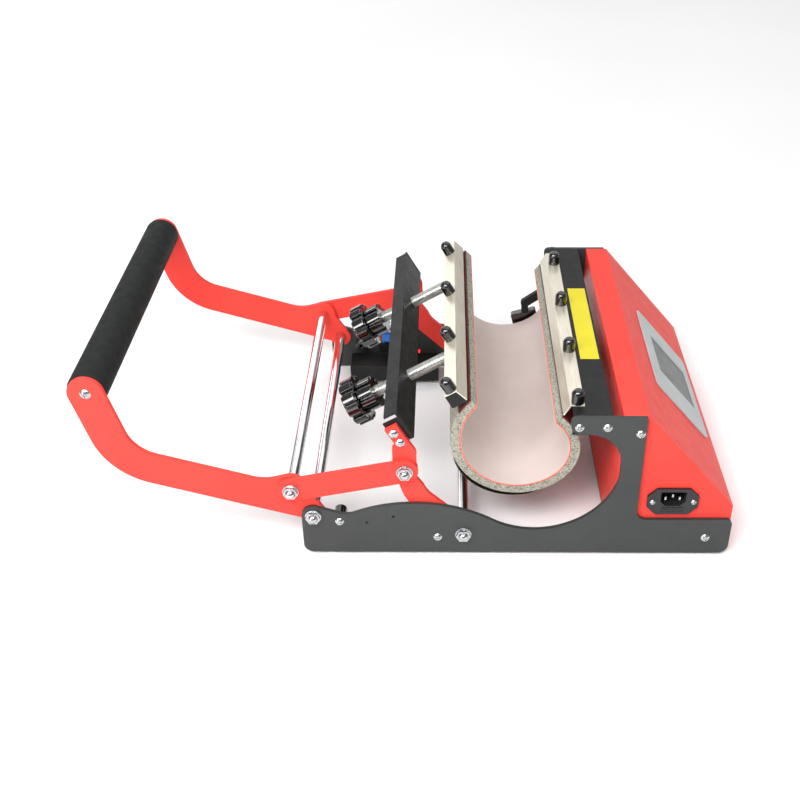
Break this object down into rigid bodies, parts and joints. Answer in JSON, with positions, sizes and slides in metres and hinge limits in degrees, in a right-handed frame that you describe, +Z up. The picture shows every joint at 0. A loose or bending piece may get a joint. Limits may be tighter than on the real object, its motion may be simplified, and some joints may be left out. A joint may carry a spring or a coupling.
{
  "type": "mug heat press",
  "caption": "Clamshell heat press for mugs: lever with foam grip, toggle links, screw-set clamp jaw, curved heating mat and a sloped control box.",
  "frame": {"origin": "centre of the object's bounding box in X and Y, with Z = 0 on the floor under the feet, in the open rest pose", "axes": "+Z up, +X from the lever's grip towards the control box, +Y away from the side that carries the power inlet"},
  "size_m": [0.632, 0.369, 0.2085],
  "materials": {
    "frame_paint": "satin dark grey powder coat",
    "black_paint": "satin black powder coat",
    "red_paint": "smooth coral red powder coat",
    "zinc": "bright zinc plate",
    "shaft_chrome": "polished chrome",
    "screw_steel": "bright threaded steel",
    "strip_steel": "lightly brushed stainless",
    "knob_plastic": "gloss black moulding",
    "black_plastic": "fine texture black",
    "rubber_black": "matt rubber",
    "foam_black": "fine cell foam",
    "mat_foam": "speckled grey silicone sponge",
    "label_film": "plain yellow film",
    "bezel_film": "grey overlay film",
    "lcd_glass": "dark grey display window",
    "board_green": "green circuit board",
    "relay_white": "white moulding",
    "switch_blue": "blue moulding",
    "led_red": "red lens",
    "grip_steel": "plain steel tube"
  },
  "bodies": {
    "frame": {"side_plate_near": "frame_paint", "side_plate_far": "frame_paint", "plate_screws": "zinc", "bumpers": "rubber_black", "feet": "rubber_black", "lever_shaft": "shaft_chrome", "lever_shaft_nuts": "zinc", "clamp_shaft": "shaft_chrome", "clamp_shaft_nuts": "zinc", "bridge_plate": "black_paint", "bridge_screws": "zinc", "right_jaw_strip": "strip_steel", "right_jaw_caps": "rubber_black", "plain_label": "label_film", "heat_mat_right": "mat_foam", "heat_mat_flex": "mat_foam", "control_box_shell": "red_paint", "control_box_base": "black_paint", "display_bezel": "bezel_film", "display_lcd": "lcd_glass", "controller_board": "board_green", "power_relay": "relay_white", "power_inlet": "black_plastic", "inlet_pins": "zinc", "inlet_screws": "zinc", "mug_stop_pin": "zinc", "switch_housing": "black_paint", "limit_switch": "switch_blue", "switch_led": "led_red"},
    "lever": {"lever_arm_near": "red_paint", "lever_arm_far": "red_paint", "grip_tube": "grip_steel", "grip_sleeve": "foam_black", "grip_screws": "zinc", "link_shaft": "shaft_chrome", "link_shaft_nuts": "zinc"},
    "link": {"link_near": "red_paint", "link_far": "red_paint", "link_pivot_nuts": "zinc"},
    "clamp": {"clamp_arm_near": "red_paint", "clamp_arm_far": "red_paint", "clamp_beam": "black_paint", "beam_screws": "zinc", "beam_nuts": "screw_steel", "clamp_pivot_bolts": "zinc"},
    "jaw": {"jaw_bar": "black_paint", "left_jaw_strip": "strip_steel", "left_jaw_caps": "rubber_black", "heat_mat_left": "mat_foam"},
    "screw_near": {"pressure_screw_near": "screw_steel", "star_knob_near": "knob_plastic", "lock_wheel_near": "knob_plastic"},
    "screw_far": {"pressure_screw_far": "screw_steel", "star_knob_far": "knob_plastic", "lock_wheel_far": "knob_plastic"},
    "mug_stop": {"mug_stop_arm": "black_paint", "mug_stop_pad": "rubber_black"},
    "start_lever": {"switch_lever": "screw_steel"},
    "fuse_holder": {"fuse_drawer": "black_plastic"}
  },
  "joints": [
    {"name": "lever_hinge", "type": "hinge", "parent": "frame", "child": "lever", "pos_m": [-0.0966, 0, 0.0494], "axis": [0, 1, 0], "range_deg": [0, 93.44]},
    {"name": "link_hinge", "type": "hinge", "parent": "lever", "child": "link", "pos_m": [-0.1164, 0, 0.0809], "axis": [0, 1, 0], "range_deg": [-110.41, 0]},
    {"name": "clamp_hinge", "type": "hinge", "parent": "frame", "child": "clamp", "pos_m": [0.0512, 0, 0.0272], "axis": [0, 1, 0], "range_deg": [0, 26.94], "deforming": ["heat_mat_flex"]},
    {"name": "jaw_slide", "type": "slide", "parent": "clamp", "child": "jaw", "axis": [0.866, 0, 0.5], "range_m": [-0.0035, 0.00525]},
    {"name": "near_screw_turn", "type": "hinge", "parent": "jaw", "child": "screw_near", "pos_m": [0.01315, -0.0745, 0.159], "axis": [0.866, 0, 0.5], "range_deg": [-720.5, 1080.5]},
    {"name": "far_screw_turn", "type": "hinge", "parent": "jaw", "child": "screw_far", "pos_m": [0.01315, 0.0745, 0.159], "axis": [0.866, 0, 0.5], "range_deg": [-720.5, 1080.5]},
    {"name": "mug_stop_hinge", "type": "hinge", "parent": "frame", "child": "mug_stop", "pos_m": [0.181, 0.16, 0.15], "axis": [0, 1, 0], "range_deg": [-15, 45]},
    {"name": "start_lever_hinge", "type": "hinge", "parent": "frame", "child": "start_lever", "pos_m": [-0.0315, 0.158, 0.062], "axis": [0, 1, 0], "range_deg": [-8, 0], "stiffness_Nm_per_rad": 0.05, "springref_deg": 8.59},
    {"name": "fuse_drawer_slide", "type": "slide", "parent": "frame", "child": "fuse_holder", "axis": [0, -1, 0], "range_m": [0, 0.012]}
  ],
  "couplings": [
    {"joint": "link_hinge", "follows": "lever_hinge", "ratio": -1.1805},
    {"joint": "clamp_hinge", "follows": "lever_hinge", "ratio": 0.28778},
    {"joint": "near_screw_turn", "follows": "jaw_slide", "rad_per_m": 3590.4},
    {"joint": "far_screw_turn", "follows": "jaw_slide", "rad_per_m": 3590.4}
  ]
}
